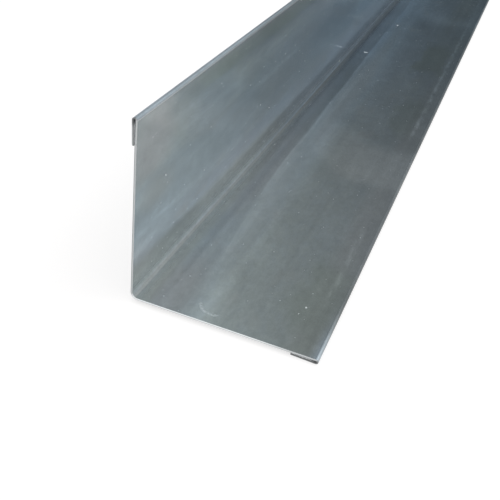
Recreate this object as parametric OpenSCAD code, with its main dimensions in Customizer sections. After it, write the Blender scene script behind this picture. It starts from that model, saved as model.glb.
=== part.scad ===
// Hemmed sheet-metal angle: one strip of stainless sheet, bent once along its length
// into an L, with both free edges folded back under the legs as open hems.

/* [Legs] */
// Width of the base leg, from the outside of the heel to the outside of its hem
base_leg = 100; // [40:1:250]
// Height of the wall leg, measured the same way
wall_leg = 100; // [40:1:250]
// Length of the piece
length = 1000; // [250:50:3000]

/* [Sheet] */
// Thickness of the sheet
thickness = 1.0; // [0.4:0.1:1.5]
// Inside radius of the bend between the legs
heel_radius = 3; // [0.5:0.5:10]

/* [Hems] */
// Width of each hem, from the outside of its fold to the free edge of its return
hem_width = 14; // [8:1:25]
// Inside radius of the fold
fold_radius = 0.4; // [0.3:0.05:1]
// Gap left between the free edge of the return and the leg
mouth_gap = 0.3; // [0.1:0.1:0.6]

/* [Hidden] */
$fn = 96;

heel_outside = heel_radius + thickness;
fold_outside = fold_radius + thickness;

// How far a hem stands out from the outside face of its leg
hem_projection = 2 * fold_radius + thickness;

// The return leaves the fold as a tangent that ends at the mouth gap,
// so it leans towards the leg by a few degrees and the hem is a teardrop.
mouth = [hem_width - fold_outside, fold_radius - mouth_gap];
overbend = atan2(mouth.y, mouth.x) + asin(fold_radius / norm(mouth));
return_run = sqrt(norm(mouth) ^ 2 - fold_radius ^ 2);

// Bent stretch of sheet about the origin, from one angle through a turn to another
module bend(inside_radius, from, turn) {
    outside_radius = inside_radius + thickness;
    clear_radius = 2 * outside_radius;
    corners = 4;
    intersection() {
        difference() {
            circle(outside_radius);
            circle(inside_radius);
        }
        polygon([
            [0, 0],
            for (k = [0 : corners])
                let (angle = from + turn * k / corners)
                    clear_radius * [cos(angle), sin(angle)]
        ]);
    }
}

// Fold under the end of a leg and the flat return behind it, with the leg ending at x = 0
module hem() {
    half_turn = 180 + overbend;
    translate([0, -fold_radius]) {
        bend(fold_radius, from = 90, turn = -half_turn);
        rotate(-overbend)
            translate([-return_run, -fold_outside])
                square([return_run, thickness]);
    }
}

// Flat of one leg and its hem, running out from the heel along +X
module leg(width) {
    flat_end = width - fold_outside;
    translate([heel_outside, 0])
        square([flat_end - heel_outside, thickness]);
    translate([flat_end, 0])
        hem();
}

// Section of the angle, with the outside faces of the legs on the two axes
module profile() {
    translate([heel_outside, heel_outside])
        bend(heel_radius, from = 180, turn = 90);
    leg(base_leg);
    mirror([1, -1])
        leg(wall_leg);
}

module hemmed_angle() {
    color([0.47, 0.50, 0.52])
        translate([-(base_leg - hem_projection) / 2, 0, hem_projection])
            rotate([90, 0, 0])
                linear_extrude(length, center = true)
                    profile();
}

hemmed_angle();
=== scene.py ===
"""Hemmed stainless steel angle: the folded sheet with its finish, on a pale floor in a light tent."""
import math
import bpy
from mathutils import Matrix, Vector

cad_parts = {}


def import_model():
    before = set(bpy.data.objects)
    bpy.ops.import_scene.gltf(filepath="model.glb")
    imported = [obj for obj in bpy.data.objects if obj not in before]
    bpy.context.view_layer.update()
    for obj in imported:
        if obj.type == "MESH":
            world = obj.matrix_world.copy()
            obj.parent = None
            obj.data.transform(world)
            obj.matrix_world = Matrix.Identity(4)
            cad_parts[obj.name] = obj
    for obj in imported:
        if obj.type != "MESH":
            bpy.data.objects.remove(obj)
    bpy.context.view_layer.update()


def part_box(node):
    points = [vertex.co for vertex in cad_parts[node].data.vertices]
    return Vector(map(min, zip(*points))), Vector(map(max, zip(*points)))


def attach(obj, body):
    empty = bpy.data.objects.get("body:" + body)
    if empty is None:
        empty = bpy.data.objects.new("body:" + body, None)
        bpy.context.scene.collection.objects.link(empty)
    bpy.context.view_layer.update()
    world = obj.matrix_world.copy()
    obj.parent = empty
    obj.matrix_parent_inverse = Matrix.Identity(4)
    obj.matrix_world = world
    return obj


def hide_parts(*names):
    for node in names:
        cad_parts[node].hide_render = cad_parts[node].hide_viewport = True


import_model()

from types import SimpleNamespace

import bpy
from mathutils import Euler, Vector, noise

LOW, HIGH = (Vector(corner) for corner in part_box("hemmed_angle"))
MM = 0.001

# Section of the sheet, as in the part's source
THICKNESS = 1.0 * MM
HEEL_RADIUS = 3.0 * MM
HEM_WIDTH = 14.0 * MM
FOLD_RADIUS = 0.4 * MM
MOUTH_GAP = 0.3 * MM

# Worked out from those and from the frame
HEEL_OUTSIDE = HEEL_RADIUS + THICKNESS
FOLD_OUTSIDE = FOLD_RADIUS + THICKNESS
HEM_PROJECTION = 2 * FOLD_RADIUS + THICKNESS
HEEL = Vector((LOW.x + HEM_PROJECTION, LOW.y, LOW.z + HEM_PROJECTION))
BASE_LEG = HIGH.x - HEEL.x
WALL_LEG = HIGH.z - HEEL.z
LENGTH = HIGH.y - LOW.y
MOUTH = Vector((HEM_WIDTH - FOLD_OUTSIDE, FOLD_RADIUS - MOUTH_GAP))
OVERBEND = math.atan2(MOUTH.y, MOUTH.x) + math.asin(FOLD_RADIUS / MOUTH.length)
RETURN_RUN = math.sqrt(MOUTH.length_squared - FOLD_RADIUS ** 2)

# Distances along the sheet from the middle of the heel
HEEL_HALF = (HEEL_RADIUS + THICKNESS / 2) * math.radians(45)
WEB_END = HEEL_HALF + BASE_LEG - FOLD_OUTSIDE - HEEL_OUTSIDE
FOLD_END = WEB_END + (FOLD_RADIUS + THICKNESS / 2) * (math.pi + OVERBEND)

# The same distances in millimetres, for the materials
HEEL_HALF_MM = HEEL_HALF / MM
WEB_END_MM = WEB_END / MM
FOLD_END_MM = FOLD_END / MM

# How finely the sheet is cut into faces
WEB_STEPS = 30
BEND_RUN_OUT = 0.8 * MM
HEEL_STEPS = 8
FOLD_STEPS = 20
RETURN_STEPS = 5
STATIONS = 270
EDGE_ROUND = 0.10 * MM
SHARP_FROM = math.radians(40)

# Greatest rise or fall of the sheet's waves, which the heel and the hems hold flat beside them
WAVES = 0.15 * MM
HELD_FLAT = 20 * MM

# Slow and quick waves by the metre, as (across, along, seed), and how strong the quick ones are. The wall
# leg's are taken from farther on in the noise than the base leg's, so that the two differ.
SLOW_WAVES = (14, 4.5, 3.7)
QUICK_WAVES = (30, 11, 9.2)
QUICK_SHARE = 0.4
WALL_WAVES_FROM = 7

# Lean of the wall leg's top towards the inside, over its last stretch
TOP_LEAN = 0.22 * MM
LEAN_STRETCH = 20 * MM

# Materials of the mesh, by index
SHEET, CUT = 0, 1


# --- Section of the sheet -------------------------------------------------------------------------

def half_section(leg):
    """Middle of the sheet from the heel to the free edge of the hem of one leg, along +X.

    Each entry is (place, normal towards the inside of the angle, distance along the sheet)."""
    run = []

    def add(place, normal, distance):
        run.append((Vector(place), Vector(normal), distance))

    # Half of the heel's bend
    middle = HEEL_RADIUS + THICKNESS / 2
    for k in range(HEEL_STEPS):
        angle = math.radians(225 + 45 * k / HEEL_STEPS)
        outward = Vector((math.cos(angle), math.sin(angle)))
        place = Vector((HEEL_OUTSIDE, HEEL_OUTSIDE)) + outward * middle
        add(place, -outward, HEEL_HALF * k / HEEL_STEPS)

    # Flat of the leg, with a short first and last step beside the bends
    flat_end = leg - FOLD_OUTSIDE
    flat = flat_end - HEEL_OUTSIDE
    even = [BEND_RUN_OUT + (flat - 2 * BEND_RUN_OUT) * k / (WEB_STEPS - 1) for k in range(WEB_STEPS)]
    for reach in [0.0] + even:
        add((HEEL_OUTSIDE + reach, THICKNESS / 2), (0, 1), HEEL_HALF + reach)

    # Fold, which turns a few degrees past half a circle
    middle = FOLD_RADIUS + THICKNESS / 2
    centre = Vector((flat_end, -FOLD_RADIUS))
    for k in range(FOLD_STEPS + 1):
        turn = (math.pi + OVERBEND) * k / FOLD_STEPS
        outward = Vector((math.sin(turn), math.cos(turn)))
        add(centre + outward * middle, outward, HEEL_HALF + flat + middle * turn)

    # Return
    start, outward, walked = run[-1]
    along = Vector((-math.cos(OVERBEND), math.sin(OVERBEND)))
    for k in range(1, RETURN_STEPS + 1):
        reach = RETURN_RUN * k / RETURN_STEPS
        add(start + along * reach, outward, walked + reach)
    return run


def section():
    """Whole section from the wall leg's free edge to the base leg's, the wall leg's distances negative."""
    wall = [(place.yx, normal.yx, -distance) for place, normal, distance in half_section(WALL_LEG)]
    return wall[:0:-1] + half_section(BASE_LEG)


# --- The sheet as a mesh --------------------------------------------------------------------------

def ripple(across, along):
    """Height of the sheet's faint waves, from -1 to 1."""
    slow, quick = (noise.noise(Vector((across * waves[0], along * waves[1], waves[2])))
                   for waves in (SLOW_WAVES, QUICK_WAVES))
    return max(-1, min(1, slow + QUICK_SHARE * quick))


def waved(place, distance, along):
    """A point of the section, its leg moved out of flat by the waves and the wall leg's lean."""
    on_wall = distance <= 0
    leg_axis = 1 if on_wall else 0
    from_heel = max(0, abs(distance) - HEEL_HALF)
    from_hem = max(0, WEB_END - abs(distance))
    free = min(1, from_heel / HELD_FLAT) * min(1, from_hem / HELD_FLAT)
    moved = place.copy()
    moved[1 - leg_axis] += WAVES * free * ripple(from_heel + (WALL_WAVES_FROM if on_wall else 0), along)
    if distance < 0:
        moved[1 - leg_axis] += TOP_LEAN * max(0, 1 - (WALL_LEG - place[leg_axis]) / LEAN_STRETCH) ** 2
    return moved


def stations():
    """Places of the rings along the length, with an extra ring at each rounded cut edge."""
    inner = [EDGE_ROUND + (LENGTH - 2 * EDGE_ROUND) * k / (STATIONS - 1) for k in range(STATIONS)]
    return [0.0] + inner + [LENGTH]


def sheet_points(run, places):
    """Points of the sheet's inner and outer face at each place along the length.

    With them comes each point's place on the flat strip: (distance, along, 1 inside or -1 outside)."""
    points, strip = [], []
    for station, along in enumerate(places):
        at_end = station in (0, len(places) - 1)
        half = THICKNESS / 2 - (EDGE_ROUND if at_end else 0)
        for side in (1, -1):
            for place, normal, distance in run:
                point = waved(place, distance, along) + normal * half * side
                points.append((HEEL.x + point.x, HEEL.y + along, HEEL.z + point.y))
                strip.append((distance, along, side))
    return points, strip


def sheet_faces(count, last):
    """Faces as (corners, material), between rings 0 to last with count points on each face of the sheet."""
    faces = []

    def vertex(station, side, k):
        return (station * 2 + side) * count + k

    def quad(material, *corners):
        faces.append(([vertex(*corner) for corner in corners], material))

    for station in range(last):
        beyond = station + 1
        material = CUT if station in (0, last - 1) else SHEET
        for k in range(count - 1):
            quad(material, (station, 0, k), (station, 0, k + 1), (beyond, 0, k + 1), (beyond, 0, k))
            quad(material, (beyond, 1, k), (beyond, 1, k + 1), (station, 1, k + 1), (station, 1, k))
        # Free edges of the two returns
        end = count - 1
        quad(CUT, (station, 0, 0), (beyond, 0, 0), (beyond, 1, 0), (station, 1, 0))
        quad(CUT, (station, 1, end), (beyond, 1, end), (beyond, 0, end), (station, 0, end))
    # Cut ends
    for k in range(count - 1):
        quad(CUT, (0, 1, k), (0, 1, k + 1), (0, 0, k + 1), (0, 0, k))
        quad(CUT, (last, 0, k), (last, 0, k + 1), (last, 1, k + 1), (last, 1, k))
    return faces


def angle_sheet():
    """The folded sheet, which stands for the solid."""
    run = section()
    places = stations()
    points, strip = sheet_points(run, places)
    faces = sheet_faces(len(run), len(places) - 1)

    mesh = bpy.data.meshes.new("angle_sheet")
    mesh.from_pydata(points, [], [corners for corners, _ in faces])
    attribute = mesh.attributes.new("strip", "FLOAT_VECTOR", "POINT")
    attribute.data.foreach_set("vector", [value for entry in strip for value in entry])
    mesh.polygons.foreach_set("material_index", [material for _, material in faces])
    mesh.materials.append(mill_finish())
    mesh.materials.append(cut_edge())
    mesh.validate()
    mesh.shade_smooth()
    mesh.set_sharp_from_angle(angle=SHARP_FROM)

    piece = bpy.data.objects.new("angle_sheet", mesh)
    bpy.context.scene.collection.objects.link(piece)
    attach(piece, "root")
    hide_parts("hemmed_angle")
    return piece


# --- Building node trees --------------------------------------------------------------------------

class Graph:
    """Short names for building a node tree."""

    def __init__(self, tree):
        self.tree = tree

    def put(self, node, socket, value):
        target = node.inputs[socket]
        if isinstance(value, bpy.types.NodeSocket):
            self.tree.links.new(value, target)
        else:
            target.default_value = value

    def node(self, kind, **inputs):
        made = self.tree.nodes.new(kind)
        for name, value in inputs.items():
            self.put(made, name.replace("_", " "), value)
        return made

    def math(self, operation, a, b=0.0, c=0.0, clamp=False):
        made = self.tree.nodes.new("ShaderNodeMath")
        made.operation = operation
        made.use_clamp = clamp
        for index, value in enumerate((a, b, c)):
            self.put(made, index, value)
        return made.outputs[0]

    def times(self, first, *others):
        for other in others:
            first = self.math("MULTIPLY", first, other)
        return first

    def plus(self, first, *others):
        for other in others:
            first = self.math("ADD", first, other)
        return first

    def most(self, first, *others):
        for other in others:
            first = self.math("MAXIMUM", first, other)
        return first

    def length(self, x, y):
        return self.math("SQRT", self.plus(self.times(x, x), self.times(y, y)))

    def ramp(self, value, low, high, to_low=0.0, to_high=1.0):
        """value from low..high to to_low..to_high, smoothly."""
        made = self.tree.nodes.new("ShaderNodeMapRange")
        made.interpolation_type = "SMOOTHSTEP"
        names = ("Value", "From Min", "From Max", "To Min", "To Max")
        for name, entry in zip(names, (value, low, high, to_low, to_high)):
            self.put(made, name, entry)
        return made.outputs["Result"]

    def band(self, value, low, high, soft):
        """1 between low and high, with edges soft wide."""
        rise = self.ramp(value, low - soft, low + soft)
        fall = self.ramp(value, high + soft, high - soft)
        return self.times(rise, fall)

    def blob(self, u, v, centre, radii, core=0.3):
        """1 in the middle of an ellipse, 0 outside it."""
        away = [self.math("DIVIDE", self.math("SUBTRACT", place, middle), radius)
                for place, middle, radius in zip((u, v), centre, radii)]
        return self.ramp(self.length(*away), 1.0, core)

    def lerp(self, factor, a, b):
        """a where factor is 0, b where it is 1."""
        return self.math("MULTIPLY_ADD", factor, self.math("SUBTRACT", b, a), a)

    def grow(self, total, *steps):
        """total times 1 + amount * factor, for each step (amount, factor)."""
        for amount, factor in steps:
            total = self.math("MULTIPLY", total, self.math("MULTIPLY_ADD", factor, amount, 1.0))
        return total

    def curve(self, value, points):
        """Straight runs between (place, level) points."""
        first, last = points[0][0], points[-1][0]
        most = max(level for _, level in points)
        made = self.tree.nodes.new("ShaderNodeValToRGB")
        steps = made.color_ramp.elements
        while len(steps) < len(points):
            steps.new(0.5)
        for step, (place, level) in zip(steps, points):
            step.position = (place - first) / (last - first)
            step.color = (level / most,) * 3 + (1,)
        place = self.math("DIVIDE", self.math("SUBTRACT", value, first), last - first, clamp=True)
        self.tree.links.new(place, made.inputs["Fac"])
        return self.math("MULTIPLY", made.outputs["Color"], most)

    def mix(self, factor, a, b, blend="MIX"):
        made = self.tree.nodes.new("ShaderNodeMix")
        made.data_type = "RGBA"
        made.blend_type = blend
        for socket, value in ((0, factor), (6, a), (7, b)):
            self.put(made, socket, value)
        return made.outputs[2]

    def vector(self, x, y, z):
        made = self.tree.nodes.new("ShaderNodeCombineXYZ")
        for index, value in enumerate((x, y, z)):
            self.put(made, index, value)
        return made.outputs[0]

    def split(self, vector):
        made = self.tree.nodes.new("ShaderNodeSeparateXYZ")
        self.put(made, 0, vector)
        return made.outputs

    def object_place(self):
        return self.split(self.tree.nodes.new("ShaderNodeTexCoord").outputs["Object"])


class Strip(Graph):
    """A graph that knows its place on the sheet as it was before bending, in millimetres.

    signed is the distance from the middle of the heel, above 0 on the base leg and below 0 on the
    wall leg. inner, base and wall are 1 on the inside of the angle, and of each of its legs."""

    def __init__(self, tree):
        super().__init__(tree)
        attribute = tree.nodes.new("ShaderNodeAttribute")
        attribute.attribute_name = "strip"
        distance, along, side = self.split(attribute.outputs["Vector"])
        self.signed = self.math("MULTIPLY", distance, 1000.0)
        self.across = self.math("ABSOLUTE", self.signed)
        self.along = self.math("MULTIPLY", along, 1000.0)
        self.side = side
        self.inner = self.math("GREATER_THAN", side, 0.0)
        self.base = self.times(self.math("GREATER_THAN", self.signed, 0.0), self.inner)
        self.wall = self.times(self.math("LESS_THAN", self.signed, 0.0), self.inner)

    def cell(self, across, along, third):
        """Place on the sheet counted in cells of across by along millimetres."""
        u = self.math("DIVIDE", self.signed, across)
        v = self.math("DIVIDE", self.along, along)
        return self.vector(u, v, third)

    def grain(self, across, along, seed, detail=2.0):
        """Noise from about -1 to 1, its patches about across wide and along long, in millimetres."""
        place = self.cell(across, along, self.math("MULTIPLY_ADD", self.side, 5.0, seed))
        made = self.node("ShaderNodeTexNoise", Vector=place, Scale=1.0, Detail=detail, Roughness=0.5)
        return self.math("MULTIPLY_ADD", made.outputs["Fac"], 4.0, -2.0)

    def uneven(self, across, by, along_by):
        """across and along, shifted by noise so that what is drawn by them gets uneven edges."""
        u = self.math("MULTIPLY_ADD", self.grain(14.0, 24.0, 37.0, 3.0), by, across)
        v = self.math("MULTIPLY_ADD", self.grain(16.0, 24.0, 39.0, 3.0), along_by, self.along)
        return u, v


def new_material(name):
    material = bpy.data.materials.new(name)
    material.use_nodes = True
    shader = material.node_tree.nodes["Principled BSDF"]
    shader.inputs["Metallic"].default_value = 1.0
    return material, Strip(material.node_tree), shader


# --- Marks on the sheet ---------------------------------------------------------------------------

# All places below are in millimetres: across from the middle of the heel, along from the near end.

# How strong the painted shade and the painted reflection beside the heel are, and how far painted
# shade darkens the heel's middle, by along
PAINTED_SHADE_ON_BASE = ((0, 0.3), (60, 0.5), (120, 0.6), (160, 0.8), (225, 1.8), (300, 2.5), (370, 2.9),
                (430, 2.4), (490, 2.1), (560, 1.0), (1000, 1.0))
PAINTED_SHADE_ON_WALL = ((0, 0.55), (50, 0.5), (80, 0.1), (170, 0.0), (225, 0.3), (300, 0.0), (1000, 0.0))
PAINTED_SHADE_ON_HEEL = ((0, 0.51), (60, 0.52), (110, 0.49), (150, 0.45), (225, 0.41), (300, 0.43), (380, 0.41),
                (450, 0.45), (1000, 0.46))
PAINTED_LIGHT_ON_WALL = ((0, 0.06), (45, 0.08), (90, 0.22), (220, 0.28), (380, 0.24), (430, 0.14), (1000, 0.14))

# Patches of the finish lighter or darker than what surrounds them, as (across, along, half width,
# half length, how much lighter), across being negative on the wall leg
PATCHES = (
    (32.0, 68.0, 7.0, 90.0, -0.14),
    (8.0, 80.0, 6.0, 25.0, -0.08),
    (43.0, 48.0, 6.0, 20.0, -0.08),
    (17.5, 255.0, 3.5, 20.0, 0.12),
    (32.0, 325.0, 8.0, 60.0, -0.10),
    (42.0, 160.0, 9.0, 28.0, 0.10),
    (22.0, 215.0, 6.0, 28.0, -0.10),
    (55.0, 250.0, 10.0, 22.0, 0.10),
    (20.0, 370.0, 5.0, 110.0, -0.12),
    (44.0, 557.0, 12.0, 26.0, -0.14),
    (10.0, 600.0, 10.0, 45.0, -0.20),
    (58.0, 595.0, 22.0, 45.0, 0.12),
    (-18.0, 30.0, 4.5, 75.0, 0.20),
    (-24.0, 8.0, 6.0, 16.0, 0.12),
    (-94.0, 25.0, 6.0, 60.0, 0.13),
    (-72.0, 5.0, 14.0, 16.0, -0.10),
    (-70.0, 122.0, 12.0, 22.0, 0.10),
    (-44.0, 6.0, 9.0, 30.0, -0.10),
    (-70.0, 38.0, 13.0, 26.0, 0.11),
    (-90.0, 80.0, 7.0, 28.0, 0.10),
    (-12.0, 125.0, 6.0, 65.0, 0.12),
    (-33.0, 185.0, 8.0, 60.0, -0.12),
    (-42.0, 430.0, 12.0, 60.0, 0.10),
)

# Patches of it that are warmer in colour, as (across, along, half width, half length, how much)
WARMER = (
    (12.0, 185.0, 13.0, 130.0, 0.9),
    (16.0, 15.0, 17.0, 52.0, 0.9),
    (27.0, 350.0, 13.0, 190.0, 0.6),
    (31.0, 240.0, 13.0, 38.0, 0.5),
    (8.0, 300.0, 10.0, 60.0, 0.5),
    (-52.0, 22.0, 14.0, 30.0, 0.5),
    (-56.0, 235.0, 22.0, 90.0, 0.5),
)

# Broken light lines along the legs, as (leg, across, half width, start, end, seed, how much lighter)
BROKEN_LINES = (
    ("base", 89.8, 1.3, 45.0, 125.0, 13.0, 0.30),
    ("base", 89.8, 1.2, 265.0, 900.0, 15.0, 0.32),
    ("base", 90.2, 1.6, 275.0, 560.0, 45.0, 0.32),
    ("wall", 58.5, 2.4, 140.0, 280.0, 25.0, 0.24),
    ("wall", 78.0, 2.4, 120.0, 210.0, 29.0, 0.20),
    ("wall", 34.5, 1.4, 5.0, 60.0, 35.0, 0.18),
)

# Greener patches of the base leg, and pale patches and a blue one on the wall leg's near part, each as
# ((across, along), (half width, half length))
GREEN_MIDDLE = ((79.0, 305.0), (14.0, 52.0))
GREEN_NEAR = ((86.0, 45.0), (22.0, 60.0))
PINK_PATCH = ((80.0, 14.0), (26.0, 42.0))
COOL_PATCH = ((29.0, 14.0), (12.0, 60.0))
PLAIN_PATCH = ((80.0, 90.0), (26.0, 65.0))
BLUE_PATCH = ((72.0, 88.0), (26.0, 48.0))

# Thumb smear by the near end of the base leg and the streak beside it, in the same form, and the
# middle and the two radii of the smear's bright arc
SMEAR = ((38.0, 26.0), (9.5, 21.0))
STREAK = ((46.5, 26.0), (1.8, 30.0))
ARC_MIDDLE = (40.2, 15.0)
ARC_INSIDE, ARC_OUTSIDE = 7.9, 9.2

# The few specks that stand out, as (leg, across, along, half width, half length)
LARGE_SPECKS = (
    ("base", 81.2, 35.0, 0.7, 0.9),
    ("base", 22.0, 539.0, 0.9, 3.0),
    ("base", 13.2, 434.0, 2.6, 2.2),
    ("base", 79.3, 28.5, 0.35, 0.5),
    ("base", 4.0, 201.0, 0.6, 0.9),
    ("wall", 31.5, 190.0, 0.5, 0.8),
    ("wall", 41.0, 170.0, 0.5, 0.8),
    ("wall", 3.0, 386.0, 1.4, 2.5),
    ("wall", 55.0, 32.0, 0.6, 0.8),
    ("wall", 34.0, 82.0, 0.4, 0.6),
)

# Colours of the finish where its level is 1, and of what lies on it
PLAIN_TINT = (0.379, 0.405, 0.402, 1)
COOL_TINT = (0.367, 0.404, 0.435, 1)
BLUE_TINT = (0.350, 0.404, 0.460, 1)
WARM_TINT = (0.399, 0.397, 0.385, 1)
PINK_TINT = (0.404, 0.392, 0.402, 1)
GREEN_TINT = (0.376, 0.404, 0.372, 1)
LOW_WALL_TINT = (0.362, 0.404, 0.404, 1)
FOLD_TINT = (0.348, 0.390, 0.425, 1)
# Blue of the painted highlight on the base leg's fold by the near end
PAINTED_TIP_HIGHLIGHT_TINT = (0.350, 0.395, 0.430, 1)
DUST_TINT = (0.80, 0.83, 0.84, 1)
# Pale colour that paints light into the hems' pockets
POCKET_PAINTED_LIGHT_TINT = (0.90, 0.92, 0.93, 1)

# Roughness of the finish, by place
ROUGH_PLAIN = 0.18
ROUGH_CLOUDS = 0.02
ROUGH_WALL_TOP = 0.12
ROUGH_HEEL = 0.34
ROUGH_FOLD = 0.50
ROUGH_DUST = 0.60


def heel_bands_painted_light(graph):
    """Painted shade and painted reflections beside the heel: (band of painted shade, thin painted light line
    at its edge, band of painted reflection beyond it).

    The bands of painted shade widen towards the near end, and the base leg's grows softer there too."""
    along, across, base, wall = graph.along, graph.across, graph.base, graph.wall
    near = graph.math("SUBTRACT", 1.0, graph.math("DIVIDE", along, 200.0), clamp=True)
    near = graph.math("POWER", graph.times(near, base), 1.7)

    edge = graph.plus(graph.lerp(base, 14.5, 17.6),
                      graph.times(near, 14.0),
                      graph.times(graph.ramp(along, 85.0, 30.0, 0.0, 6.5), wall),
                      graph.times(graph.ramp(along, 330.0, 430.0, 0.0, -1.4), base),
                      graph.times(graph.grain(400.0, 90.0, 11.0), 0.9))
    from_edge = graph.math("SUBTRACT", across, edge)
    soft = graph.plus(graph.lerp(base, 3.0, 1.5), graph.times(near, 5.5))
    within = graph.math("DIVIDE", from_edge, soft)

    # Painted shade beside the heel on the base leg, over its near part
    beside = graph.times(graph.band(across, 6.5, 14.5, 2.0), graph.ramp(along, 290.0, 90.0),
                         graph.ramp(along, 0.0, 60.0, 0.5, 1.0), base)
    by_leg = graph.lerp(base, graph.curve(along, PAINTED_SHADE_ON_WALL), graph.curve(along, PAINTED_SHADE_ON_BASE))
    strength = graph.plus(by_leg,
                          graph.times(near, graph.ramp(across, 2.0, 14.0), 1.5),
                          graph.times(beside, 1.1))
    dark = graph.times(graph.ramp(within, 1.0, -1.0), strength)

    line = graph.times(graph.band(from_edge, 0.3, 1.1, 0.6),
                       graph.ramp(graph.grain(4.0, 50.0, 27.0), -1.0, 0.6))

    wide = graph.times(graph.ramp(from_edge, graph.lerp(base, 40.0, 24.0), 2.0), 0.6)
    narrow = graph.times(graph.ramp(from_edge, 12.0, 4.0), 0.6)
    faint = graph.lerp(base, 1.0, graph.ramp(along, 40.0, 180.0, 0.1, 1.0))
    light = graph.times(graph.ramp(within, -1.0, 0.8), graph.plus(wide, narrow), faint)
    return [graph.times(mark, graph.inner) for mark in (dark, line, light)]


def heel_painted_shade_and_highlight(graph):
    """How light the bend of the heel is: painted shade along its middle and towards the far end, and a
    painted highlight on the wall leg's side of it.
    """
    along, signed = graph.along, graph.signed
    middle = graph.band(signed, -0.5, 1.6, 0.9)
    wall_side = graph.band(signed, -4.0, -0.3, 0.9)
    base_side = graph.band(signed, 2.2, 6.0, 0.8)
    whole = graph.band(signed, -2.2, 4.5, 0.8)
    return graph.grow(
        1.0,
        (-1.0, graph.times(middle, graph.curve(along, PAINTED_SHADE_ON_HEEL))),
        (1.0, graph.times(wall_side, graph.ramp(along, 20.0, 110.0, 0.72, 0.42),
                          graph.ramp(along, 150.0, 260.0, 1.0, 0.1))),
        (-1.0, graph.times(base_side, graph.ramp(along, 300.0, 450.0, 0.03, 0.24))),
        (-0.06, graph.times(base_side, graph.ramp(along, 140.0, 60.0))),
        (-0.15, graph.times(graph.band(signed, -1.8, 0.0, 0.8), graph.ramp(along, 110.0, 200.0))),
        (-0.40, graph.times(whole, graph.ramp(along, 280.0, 600.0))))


def cross_bands(graph):
    """Bands across the base leg, where it was rolled or handled: (lighter, darker)."""
    bend = graph.ramp(graph.across, 65.0, 25.0, 0.0, 24.0)
    along = graph.math("SUBTRACT", graph.along, bend)
    along = graph.math("MULTIPLY_ADD", graph.grain(30.0, 120.0, 31.0), 5.0, along)
    over = graph.times(graph.ramp(graph.across, 20.0, 40.0), graph.base)
    far = graph.times(graph.band(along, 578.0, 602.0, 16.0), 0.8)
    lighter = graph.plus(graph.band(along, 180.0, 240.0, 11.0), far)
    darker = graph.band(along, 247.0, 268.0, 8.0)
    return graph.times(lighter, over), graph.times(darker, over)


def green_patches(graph):
    """Darker, greener patches of the base leg's outer half, and such a band along the wall leg's top."""
    u, v = graph.uneven(graph.across, 5.0, 13.0)
    far = graph.times(graph.band(u, 61.0, 87.0, 4.0), graph.band(v, 415.0, 500.0, 12.0))
    middle = graph.times(graph.blob(u, v, *GREEN_MIDDLE, 0.5), 0.7)
    near = graph.times(graph.blob(u, v, *GREEN_NEAR), 0.9)
    wall = graph.times(graph.band(graph.across, 86.5, 95.5, 1.5), graph.ramp(graph.along, 45.0, 110.0))
    return graph.plus(graph.times(graph.plus(far, middle, near), graph.base), graph.times(wall, graph.wall))


def near_patches(graph):
    """Pale patches by the wall leg's near end: (pink one high up, cool one low down, plain one beyond)."""
    u = graph.math("MULTIPLY_ADD", graph.grain(22.0, 30.0, 51.0), 5.0, graph.across)
    v = graph.math("MULTIPLY_ADD", graph.grain(22.0, 30.0, 53.0), 6.0, graph.along)
    return [graph.times(graph.blob(u, v, *patch, 0.2), graph.wall)
            for patch in (PINK_PATCH, COOL_PATCH, PLAIN_PATCH)]


def smudge(graph):
    """Thumb smear by the near end of the base leg: (the smear, its bright arc, the streak beside it)."""
    u, v = (graph.math("SUBTRACT", place, middle)
            for place, middle in zip((graph.across, graph.along), ARC_MIDDLE))
    smear = graph.blob(graph.across, graph.along, *SMEAR, 0.5)
    arc = graph.times(graph.band(graph.length(u, v), ARC_INSIDE, ARC_OUTSIDE, 0.7),
                      graph.ramp(v, 0.5, -4.0), graph.ramp(u, 5.0, 1.5),
                      graph.ramp(graph.grain(1.6, 1.6, 47.0), -1.0, 0.8))
    streak = graph.blob(graph.across, graph.along, *STREAK, 0.2)
    return [graph.times(part, graph.base) for part in (smear, arc, streak)]


def small_specks(graph):
    """Dust and pinpricks scattered over the sheet, at most one to a cell."""
    cells = graph.node("ShaderNodeTexVoronoi", Vector=graph.cell(4.5, 4.5, graph.side), Scale=1.0,
                       Randomness=1.0)
    chance = graph.split(cells.outputs["Color"])[0]
    size = graph.math("MULTIPLY_ADD", chance, 0.07, 0.02)
    spot = graph.ramp(graph.math("DIVIDE", cells.outputs["Distance"], size), 1.4, 0.5)
    return graph.times(spot, graph.ramp(chance, 0.0, 1.0, 0.35, 1.0))


def large_specks(graph):
    """The few specks that stand out."""
    spots = []
    for leg, across, along, *radii in LARGE_SPECKS:
        spot = graph.blob(graph.across, graph.along, (across, along), radii, 0.5)
        spots.append(graph.times(spot, getattr(graph, leg)))
    return graph.math("MINIMUM", graph.plus(*spots), 1.0)


def broken_line(graph, leg, across, half_width, start, end, seed):
    """Thin light line along a leg, broken up along its length."""
    return graph.times(graph.band(graph.across, across - half_width, across + half_width, half_width),
                       graph.ramp(graph.grain(3.5, 12.0, seed, 1.0), -0.9, 0.9),
                       graph.band(graph.along, start, end, 12.0), getattr(graph, leg))


def hem_pockets(graph):
    """Inside of the hems, painted pale and dull so that the gaps in them read lighter, which is painted
    light; less of it in the fold.
    """
    outer = graph.math("SUBTRACT", 1.0, graph.inner)
    pocket = graph.times(outer, graph.band(graph.across, WEB_END_MM - 12.0, FOLD_END_MM + 20.0, 0.5))
    from_fold = graph.math("ABSOLUTE", graph.math("SUBTRACT", graph.across, (WEB_END_MM + FOLD_END_MM) / 2))
    return graph.times(pocket, graph.ramp(from_fold, 1.5, 5.0, 0.3, 1.0))


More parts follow.
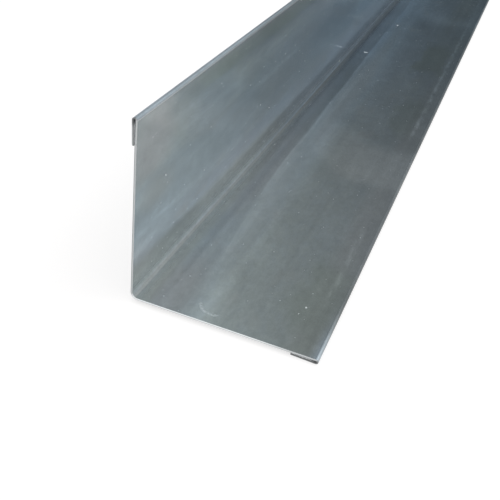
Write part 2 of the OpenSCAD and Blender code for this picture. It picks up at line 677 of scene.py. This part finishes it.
def finish_marks(graph):
    """Masks that the colour, the level and the roughness of the finish share."""
    marks = SimpleNamespace()
    # Painted shade beside the heel, a painted light line at its edge and a painted reflection beyond it
    marks.dark, marks.edge_line, marks.light = heel_bands_painted_light(graph)
    marks.lighter, marks.darker = cross_bands(graph)
    marks.green = green_patches(graph)
    marks.pink, marks.cool, marks.plain = near_patches(graph)
    marks.smear, arc, marks.streak = smudge(graph)
    marks.dust = graph.most(graph.times(small_specks(graph), 0.50), graph.times(large_specks(graph), 0.9),
                            graph.times(arc, 0.6))
    marks.pocket = hem_pockets(graph)
    marks.heel = graph.ramp(graph.across, HEEL_HALF_MM + 3.5, HEEL_HALF_MM)
    marks.fold = graph.band(graph.across, WEB_END_MM, FOLD_END_MM, 0.4)
    # Painted highlight, pale and blue, on the base leg's fold and return by the near end
    marks.tip = graph.times(graph.ramp(graph.across, 92.0, 98.0), graph.ramp(graph.along, 50.0, 0.0),
                            graph.base)
    haze = graph.lerp(graph.base, graph.band(graph.across, 3.0, 45.0, 3.0),
                      graph.band(graph.across, 28.0, 68.0, 8.0))
    marks.far_haze = graph.times(haze, graph.ramp(graph.along, 220.0, 380.0), graph.inner)
    return marks


# --- Mill finish ----------------------------------------------------------------------------------

def cooler(graph, marks):
    """How far the finish turns cool: in slow clouds, and in the light bands of the wall leg, among them the
    painted reflection beside the heel.
    """
    along, across, base, wall = graph.along, graph.across, graph.base, graph.wall
    clouds = graph.ramp(graph.grain(45.0, 160.0, 3.0), -1.0, 1.0)
    bands = graph.most(marks.cool,
                       graph.times(marks.far_haze, graph.lerp(base, 1.0, 0.5)),
                       graph.times(marks.light, wall),
                       graph.times(graph.ramp(along, 150.0, 260.0), wall,
                                   graph.ramp(across, 30.0, 45.0, 1.0, 0.45)))
    on_base = graph.plus(graph.ramp(along, 200.0, 400.0, 0.12, 1.0),
                         graph.times(graph.ramp(across, 40.0, 60.0, 0.0, 0.35),
                                     graph.band(along, 70.0, 175.0, 20.0)))
    cool = graph.times(graph.math("ADD", clouds, bands, clamp=True), graph.lerp(base, 1.0, on_base))
    return graph.math("MULTIPLY_ADD", graph.grain(5.0, 9.0, 63.0, 3.0), 0.26, cool, clamp=True)


def bluer(graph):
    """How far it turns blue: by the heel, in bands and a patch of the wall leg, and towards the far end."""
    along, across, wall = graph.along, graph.across, graph.wall
    far = graph.times(graph.ramp(along, 380.0, 620.0), graph.ramp(across, 75.0, 35.0), 0.8)
    near = graph.times(graph.band(across, 15.0, 62.0, 6.0), graph.ramp(along, 200.0, 110.0), wall, 0.6)
    high = graph.times(graph.blob(across, along, *BLUE_PATCH), wall, 0.5)
    heel = graph.times(graph.ramp(across, 30.0, 20.0), graph.inner,
                       graph.lerp(graph.base, graph.ramp(along, 170.0, 320.0, 0.0, 0.9),
                                  graph.ramp(along, 340.0, 450.0, 0.0, 0.8)))
    low = graph.times(graph.band(across, 14.0, 28.0, 4.0), wall, graph.ramp(along, 20.0, 60.0),
                      graph.ramp(along, 290.0, 220.0))
    return graph.most(far, near, high, heel, low)


def warmer(graph, marks):
    """How far it turns warm: in small clouds, by the base leg's fold, in a cross band and in patches."""
    clouds = graph.times(graph.ramp(graph.grain(16.0, 40.0, 33.0), 0.2, 1.2), 0.5)
    by_fold = graph.times(graph.ramp(graph.across, 76.0, 88.0), graph.ramp(graph.along, 560.0, 260.0),
                          graph.base, 0.6)
    olive = graph.times(marks.lighter, graph.ramp(graph.across, 45.0, 65.0, 0.7, 1.0),
                        graph.ramp(graph.along, 320.0, 280.0), 0.6)
    patches = []
    for across, along, *radii, warmth in WARMER:
        patch = graph.blob(graph.signed, graph.along, (across, along), radii, 0.2)
        patches.append(graph.times(patch, graph.inner, warmth))
    return graph.most(clouds, graph.times(marks.pink, 0.8), by_fold, olive, *patches)


def finish_colour(graph, marks):
    """Colour of the finish where its level is 1."""
    low_wall = graph.times(graph.band(graph.across, 4.0, 17.0, 3.0), graph.ramp(graph.along, 260.0, 180.0),
                           graph.wall)
    colour = graph.mix(cooler(graph, marks), PLAIN_TINT, COOL_TINT)
    for factor, tint in ((bluer(graph), BLUE_TINT),
                         (warmer(graph, marks), WARM_TINT),
                         (graph.times(marks.pink, 0.6), PINK_TINT),
                         (graph.times(marks.green, 0.8), GREEN_TINT),
                         (graph.times(low_wall, 0.6), LOW_WALL_TINT),
                         (graph.times(marks.fold, graph.lerp(graph.base, 1.0, 0.4)), FOLD_TINT),
                         (graph.times(marks.tip, 0.8), PAINTED_TIP_HIGHLIGHT_TINT)):
        colour = graph.mix(factor, colour, tint)
    return colour


def clouds_and_grain(graph):
    """Level of the bare finish: clouds, grain, and streaks along the length, fainter beside the heel."""
    away = graph.ramp(graph.across, 8.0, 26.0, 0.25, 1.0)
    return graph.grow(
        1.0,
        (0.06, graph.grain(24.0, 50.0, 9.0, 3.0)),
        (0.06, graph.grain(6.0, 10.0, 21.0, 3.0)),
        (0.05, graph.grain(2.6, 5.0, 65.0)),
        (0.05, graph.grain(1.3, 2.0, 23.0)),
        (0.03, graph.grain(0.6, 0.8, 61.0, 1.0)),
        (0.06, graph.times(graph.grain(5.0, 260.0, 5.0), away)),
        (0.015, graph.grain(1.4, 90.0, 7.0)))


def with_bands(graph, marks, level):
    """Level with the painted shade and reflections beside the heel, the painted shade along the wall leg's
    top, the bands of the rolling and the far haze.
    """
    along, across, base, wall = graph.along, graph.across, graph.base, graph.wall
    return graph.grow(
        level,
        # Painted shade, a painted light line and painted reflections beside the heel
        (-0.16, marks.dark),
        (0.08, marks.edge_line),
        (0.10, marks.light),
        (1.0, graph.times(marks.light, wall, graph.curve(along, PAINTED_LIGHT_ON_WALL))),
        (1.0, graph.times(marks.far_haze, wall, graph.ramp(along, 330.0, 440.0, 0.17, 0.03))),
        (0.14, graph.times(marks.far_haze, base)),
        (0.20, graph.times(graph.band(across, 24.0, 50.0, 5.0), wall, graph.ramp(along, 370.0, 440.0))),
        (0.10, graph.times(graph.band(across, 60.0, 78.0, 6.0), wall, graph.ramp(along, 90.0, 140.0))),
        # Painted shade along the wall leg's top stretch, from a little way along
        (-0.18, graph.times(graph.ramp(across, 91.5, 94.0), wall, graph.ramp(along, 110.0, 170.0))),
        (0.13, graph.times(base, graph.ramp(along, 565.0, 610.0))),
        (0.15, marks.lighter),
        (0.08, graph.times(marks.lighter, graph.ramp(across, 50.0, 75.0))),
        (-0.06, marks.darker))


def with_patches(graph, marks, level):
    """Level with the patches, the mottling of the base leg's far part, the smear and the broken lines."""
    u, v = graph.uneven(graph.signed, 1.5, 8.0)
    patches = [(amount, graph.times(graph.blob(u, v, (across, along), radii, 0.2), graph.inner))
               for across, along, *radii, amount in PATCHES]
    lines = [(amount, broken_line(graph, *line)) for *line, amount in BROKEN_LINES]
    mottling = graph.times(graph.grain(22.0, 45.0, 81.0, 3.0), graph.base,
                           graph.ramp(graph.along, 240.0, 330.0))
    return graph.grow(
        level,
        (0.09, mottling),
        (-0.12, graph.times(marks.green, graph.base)),
        (0.18, marks.pink),
        (0.09, marks.cool),
        (0.17, marks.plain),
        (0.04, marks.smear),
        (-0.08, marks.streak),
        *patches, *lines)


def with_folds(graph, marks, level):
    """Level with the heel's painted shade and highlight, a broken painted highlight along its middle, painted
    shade on the base leg's hem fold and where the wall leg's top fold starts, and a painted highlight on
    the base leg's fold at the near tip.
    """
    along, wall = graph.along, graph.wall
    # Painted shade on the base leg's hem fold, a little deeper towards the far end
    fold_painted_shade = graph.ramp(along, 150.0, 300.0, 0.54, 0.64)
    # Painted shade where the wall leg's top fold starts
    painted_shade_at_top_fold = graph.band(graph.across, WEB_END_MM - 1.1, WEB_END_MM + 0.4, 0.5)
    from_crease = graph.math("ABSOLUTE", graph.plus(graph.signed, 0.7))
    # Broken painted highlight along the middle of the heel
    painted_crease_highlight = graph.times(graph.ramp(from_crease, 2.0, 0.1), graph.ramp(along, 260.0, 120.0),
                         graph.ramp(graph.grain(9.0, 7.0, 41.0), -1.6, 1.4))
    return graph.grow(
        graph.times(level, heel_painted_shade_and_highlight(graph)),
        (0.10, painted_crease_highlight),
        (-1.0, graph.times(marks.fold, graph.base, fold_painted_shade, graph.grow(1.0, (-0.9, marks.tip)))),
        # Painted highlight on the base leg's fold by the near end
        (0.36, marks.tip),
        (-0.36, graph.times(painted_shade_at_top_fold, wall, graph.ramp(along, 50.0, 140.0))))


def finish_roughness(graph, marks):
    """Roughness of the finish: less along the wall leg's top, and more on the heel, the folds and dust."""
    rough = graph.math("MULTIPLY_ADD", graph.grain(20.0, 90.0, 17.0, 3.0), ROUGH_CLOUDS, ROUGH_PLAIN)
    wall_top = graph.times(graph.ramp(graph.across, 78.0, 90.0), graph.wall)
    for where, roughness in ((wall_top, ROUGH_WALL_TOP),
                             (marks.heel, ROUGH_HEEL),
                             (marks.fold, ROUGH_FOLD),
                             (graph.most(marks.dust, marks.pocket), ROUGH_DUST)):
        rough = graph.lerp(where, rough, roughness)
    return rough


def mill_finish():
    """Satin finish of the sheet, with a thin film of dirt low on the wall leg, and painted light inside the
    hems, which are made pale and dull.
    """
    material, graph, shader = new_material("mill_finish")
    marks = finish_marks(graph)

    level = with_bands(graph, marks, clouds_and_grain(graph))
    level = with_patches(graph, marks, level)
    level = with_folds(graph, marks, level)
    colour = graph.mix(1.0, finish_colour(graph, marks), graph.vector(level, level, level), "MULTIPLY")
    colour = graph.mix(marks.dust, colour, DUST_TINT)
    # Painted light inside the hems: pale, dull pockets
    colour = graph.mix(marks.pocket, colour, POCKET_PAINTED_LIGHT_TINT)
    graph.put(shader, "Base Color", colour)

    film = graph.times(graph.ramp(graph.across, 38.0, 20.0), graph.ramp(graph.across, 0.5, 6.0), graph.wall,
                       graph.ramp(graph.grain(12.0, 60.0, 71.0, 1.0), -1.6, 1.6, 0.13, 0.19))
    metallic = graph.math("MULTIPLY_ADD", marks.pocket, -0.9, graph.math("SUBTRACT", 1.0, film))
    graph.put(shader, "Metallic", metallic)
    graph.put(shader, "Roughness", finish_roughness(graph, marks))
    return material


# --- Cut edge -------------------------------------------------------------------------------------

# How light the cut is on each leg, and the share of that which is left by the base leg's tip, at the
# burr and round the hems, where the darkening is painted shade
CUT_ON_BASE = 0.80
CUT_ON_WALL = 0.49
CUT_NEAR_TIP = 0.72
CUT_AT_BURR = 0.4
CUT_IN_HEM_SHADE = 0.36
CUT_TINT = (1.0, 1.04, 1.06)
CUT_ROUGHNESS = 0.45


def cut_edge():
    """Sheared edge: bright on the base leg, duller on the wall leg and at the outer burr, with painted shade
    round the hems.
    """
    material, graph, shader = new_material("cut_edge")
    on_wall = graph.ramp(graph.signed, 1.0, -3.0)
    burr = graph.times(graph.ramp(graph.side, -0.3, -0.8), graph.ramp(graph.grain(1.5, 1.5, 43.0), -1.5, 0.0))
    # Painted shade on the cut round the hems, less of it along the wall leg's return
    hem = graph.ramp(graph.across, WEB_END_MM - 0.2, WEB_END_MM + 1.4)
    wall_return = graph.times(graph.ramp(graph.across, FOLD_END_MM + 1.0, FOLD_END_MM + 4.0), on_wall)
    hem = graph.lerp(wall_return, hem, 0.45)
    tone = graph.math("MULTIPLY_ADD", graph.grain(4.0, 4.0, 19.0), 0.06,
                      graph.lerp(on_wall, CUT_ON_BASE, CUT_ON_WALL))
    tone = graph.times(tone, graph.lerp(burr, 1.0, CUT_AT_BURR), graph.lerp(hem, 1.0, CUT_IN_HEM_SHADE),
                       graph.ramp(graph.signed, 64.0, 92.0, 1.0, CUT_NEAR_TIP))
    graph.put(shader, "Base Color", graph.vector(*(graph.times(tone, tint) for tint in CUT_TINT)))
    graph.put(shader, "Roughness", CUT_ROUGHNESS)
    return material


# --- Stage ----------------------------------------------------------------------------------------

FLOOR_REACH = 40.0
FLOOR_MATT = (0.42, 0.42, 0.42, 1)
FLOOR_GLOW = (1.0, 0.99, 0.985, 1)

# How strongly the floor glows round the angle and far off, and where it goes from one to the other
GLOW_NEAR, GLOW_FAR = 0.64, 0.90
GLOW_FROM, GLOW_TO = 1.5, 5.0

# Light of the tent. It is plain all round and overhead, and graded beyond the angle's far end by
# height above the floor and by heading, in degrees, with 0 at the far end and 90 on its right.
TENT_RADIUS = 8.0
TENT_FOOT = -2
TENT_RINGS = 24
TENT_SECTORS = 72
TENT_LEVEL = 1.0
TENT_BY_HEIGHT = ((0, 0.20), (10, 0.28), (17, 0.40), (20, 0.47), (24, 0.62), (27.5, 0.90), (40, 1.25),
                  (60, 1.30))
TENT_BY_HEADING = ((-42, 0.80), (-22, 0.52), (-14, 0.40), (-4, 0.31), (4, 0.46), (12, 0.80),
                   (18, 0.92), (27, 1.50), (40, 2.20), (60, 2.00), (100, 1.20))

# Its colours: plain, high up on the left, straight ahead and on the right, and low down
TENT_PLAIN = (1, 1, 1, 1)
TENT_LEFT = (0.91, 1.0, 1.02, 1)
TENT_AHEAD = (0.90, 0.99, 1.07, 1)
TENT_RIGHT = (0.97, 1.0, 1.0, 1)
TENT_LOW = (0.76, 1.0, 1.16, 1)


def stage_object(name, mesh):
    made = bpy.data.objects.new(name, mesh)
    bpy.context.scene.collection.objects.link(made)
    return made


def bare_material(name):
    """A material without a shader: (material, graph, its output's surface socket)."""
    material = bpy.data.materials.new(name)
    material.use_nodes = True
    nodes = material.node_tree.nodes
    nodes.remove(nodes["Principled BSDF"])
    return material, Graph(material.node_tree), nodes["Material Output"].inputs["Surface"]


def floor_material():
    """Floor's surface: matt, with a glow that only the camera and reflections see."""
    material, graph, surface = bare_material("floor")
    path = graph.node("ShaderNodeLightPath").outputs
    seen = graph.plus(path["Is Camera Ray"], path["Is Glossy Ray"])
    seen = graph.math("ADD", seen, path["Is Transmission Ray"], clamp=True)
    x, y, _ = graph.object_place()
    strength = graph.times(seen, graph.ramp(graph.length(x, y), GLOW_FROM, GLOW_TO, GLOW_NEAR, GLOW_FAR))
    glow = graph.node("ShaderNodeEmission", Color=FLOOR_GLOW, Strength=strength)
    matt = graph.node("ShaderNodeBsdfDiffuse", Color=FLOOR_MATT)
    both = graph.node("ShaderNodeAddShader")
    graph.put(both, 0, glow.outputs[0])
    graph.put(both, 1, matt.outputs[0])
    graph.tree.links.new(both.outputs[0], surface)
    return material


def floor():
    """Pale floor, which reads as white to the camera and in the metal, and keeps the angle's shadow."""
    corners = [(-1, -1), (1, -1), (1, 1), (-1, 1)]
    mesh = bpy.data.meshes.new("floor")
    mesh.from_pydata([(x * FLOOR_REACH, y * FLOOR_REACH, 0) for x, y in corners], [], [(0, 1, 2, 3)])
    mesh.materials.append(floor_material())
    made = stage_object("floor", mesh)
    made.location.z = LOW.z
    return made


def light_tent():
    """Dome of lit cloth round the stage, dim low down beyond the far end and bright on the right."""
    vertices = []
    for ring in range(TENT_RINGS + 1):
        rise = math.radians(TENT_FOOT + (90 - TENT_FOOT) * ring / TENT_RINGS)
        for sector in range(TENT_SECTORS):
            heading = math.tau * sector / TENT_SECTORS
            direction = Vector((math.cos(rise) * math.sin(heading), math.cos(rise) * math.cos(heading),
                                math.sin(rise)))
            vertices.append(TENT_RADIUS * direction)
    faces = []
    for ring in range(TENT_RINGS):
        low, high = ring * TENT_SECTORS, (ring + 1) * TENT_SECTORS
        for sector in range(TENT_SECTORS):
            beside = (sector + 1) % TENT_SECTORS
            faces.append((low + sector, low + beside, high + beside, high + sector))
    mesh = bpy.data.meshes.new("light_tent")
    mesh.from_pydata(vertices, [], faces)
    mesh.materials.append(tent_cloth())
    tent = stage_object("light_tent", mesh)
    tent.visible_camera = False
    tent.visible_shadow = False
    return tent


def tent_cloth():
    """Light of the tent: its level by height and by heading, and a cooler colour low down."""
    material, graph, surface = bare_material("tent_cloth")
    x, y, z = graph.object_place()
    height = graph.math("DEGREES", graph.math("ARCSINE", graph.math("DIVIDE", z, TENT_RADIUS)))
    heading = graph.math("DEGREES", graph.math("ARCTAN2", x, y))
    graded = graph.times(graph.curve(height, TENT_BY_HEIGHT), graph.curve(heading, TENT_BY_HEADING))
    beyond = graph.times(graph.ramp(heading, -42, -20), graph.ramp(heading, 100, 60),
                         graph.ramp(height, 75, 45))
    level = graph.lerp(beyond, TENT_LEVEL, graded)

    high = graph.mix(graph.ramp(heading, -14, -6), TENT_LEFT, TENT_AHEAD)
    high = graph.mix(graph.ramp(heading, 12, 25), high, TENT_RIGHT)
    not_low = graph.most(graph.ramp(height, 12, 32), graph.ramp(heading, 24, 40))
    colour = graph.mix(beyond, TENT_PLAIN, graph.mix(not_low, TENT_LOW, high))
    glow = graph.node("ShaderNodeEmission", Color=colour, Strength=level)
    graph.tree.links.new(glow.outputs[0], surface)
    material.cycles.emission_sampling = "FRONT_BACK"
    return material


def world():
    made = bpy.data.worlds.new("world")
    bpy.context.scene.world = made
    made.use_nodes = True
    background = made.node_tree.nodes["Background"]
    background.inputs["Color"].default_value = (1, 1, 1, 1)
    background.inputs["Strength"].default_value = 1.0


# --- Camera ---------------------------------------------------------------------------------------

CAMERA_FROM_HEEL = Vector((144.4, -271.4, 245.6)) * MM
CAMERA_TURN = Euler([math.radians(angle) for angle in (57.937, -5.900, 21.426)], "XYZ")
SENSOR_WIDTH = 36.0
LENS = 55.16
SHIFT = -0.07
CLIP = (0.01, 200.0)


def camera():
    """Looks down the inside of the angle from beside its near end."""
    data = bpy.data.cameras.new("camera")
    data.sensor_width = SENSOR_WIDTH
    data.lens = LENS
    data.shift_y = SHIFT
    data.clip_start, data.clip_end = CLIP
    made = bpy.data.objects.new("camera", data)
    bpy.context.scene.collection.objects.link(made)
    made.location = HEEL + CAMERA_FROM_HEEL
    made.rotation_euler = CAMERA_TURN
    bpy.context.scene.camera = made


camera()
floor()
light_tent()
world()
angle_sheet()
bpy.context.scene.view_settings.view_transform = "Standard"
